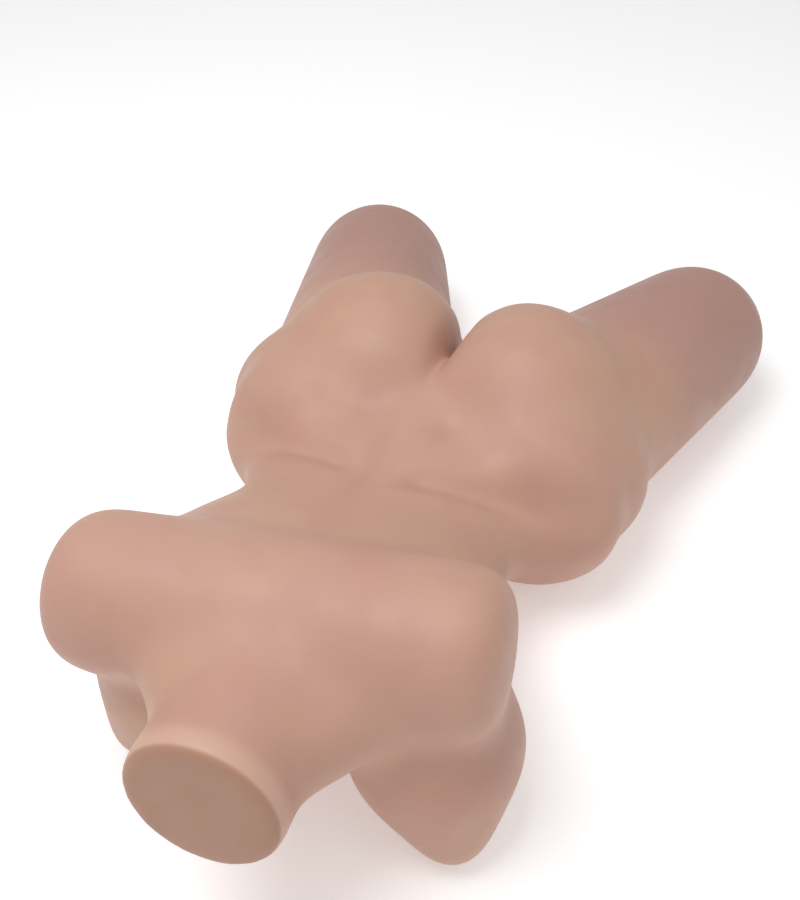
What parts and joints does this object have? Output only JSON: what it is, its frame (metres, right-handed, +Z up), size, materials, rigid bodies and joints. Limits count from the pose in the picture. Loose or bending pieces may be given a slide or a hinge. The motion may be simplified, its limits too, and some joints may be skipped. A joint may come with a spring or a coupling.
{
  "type": "torso mannequin",
  "caption": "Headless soft-skinned torso mannequin with arm and thigh stumps, lying face down, posed by a jointed steel skeleton inside foam cores.",
  "frame": {"origin": "on the floor under the middle of the bounding box", "axes": "+Z up, the figure lies face down with its neck towards -Y, its thighs towards +Y and its left side towards +X"},
  "size_m": [0.59, 0.9248, 0.3023],
  "materials": {
    "soft_skin": "matte satin cast elastomer, skin tone",
    "core_foam": "open-cell polyurethane foam",
    "painted_tube": "satin black powder coat",
    "steel_fitting": "machined steel",
    "zinc_fastener": "bright zinc plate",
    "end_plastic": "white polyethylene",
    "friction_plate": "brown friction laminate"
  },
  "bodies": {
    "pelvis": {"hip_bolt_left": "zinc_fastener", "hip_bolt_right": "zinc_fastener", "hip_clevis_left": "steel_fitting", "hip_clevis_right": "steel_fitting", "hip_friction_washers_left": "friction_plate", "hip_friction_washers_right": "friction_plate", "hip_nut_left": "zinc_fastener", "hip_nut_right": "zinc_fastener", "pelvis_bar_left": "painted_tube", "pelvis_bar_right": "painted_tube", "pelvis_foam": "core_foam", "pelvis_gusset": "steel_fitting", "pelvis_skin": "soft_skin", "pelvis_tube_bolts": "zinc_fastener", "spine_tube_lower": "painted_tube", "waist_tongue": "steel_fitting"},
    "chest": {"arm_end_disc_left": "end_plastic", "arm_end_disc_right": "end_plastic", "chest_foam": "core_foam", "chest_skin": "soft_skin", "chest_tube_bolts": "zinc_fastener", "neck_end_disc": "end_plastic", "neck_post": "painted_tube", "shoulder_bar": "painted_tube", "shoulder_gusset": "steel_fitting", "spine_tube_upper": "painted_tube", "waist_bolt": "zinc_fastener", "waist_clevis": "steel_fitting", "waist_friction_washers": "friction_plate", "waist_nut": "zinc_fastener"},
    "thigh_left": {"hip_tongue_left": "steel_fitting", "thigh_end_disc_left": "end_plastic", "thigh_foam_left": "core_foam", "thigh_skin_left": "soft_skin", "thigh_tube_bolt_left": "zinc_fastener", "thigh_tube_left": "painted_tube"},
    "thigh_right": {"hip_tongue_right": "steel_fitting", "thigh_end_disc_right": "end_plastic", "thigh_foam_right": "core_foam", "thigh_skin_right": "soft_skin", "thigh_tube_bolt_right": "zinc_fastener", "thigh_tube_right": "painted_tube"}
  },
  "joints": [
    {"name": "waist_bend", "type": "hinge", "parent": "pelvis", "child": "chest", "pos_m": [-0.03115, -0.0726, 0.12], "axis": [1, 0, 0], "range_deg": [-12, 12]},
    {"name": "hip_spread_left", "type": "hinge", "parent": "pelvis", "child": "thigh_left", "pos_m": [0.07715, 0.1174, 0.105], "axis": [0, 0, 1], "range_deg": [-14, 6]},
    {"name": "hip_spread_right", "type": "hinge", "parent": "pelvis", "child": "thigh_right", "pos_m": [-0.11285, 0.1174, 0.105], "axis": [0, 0, 1], "range_deg": [-6, 14]}
  ]
}
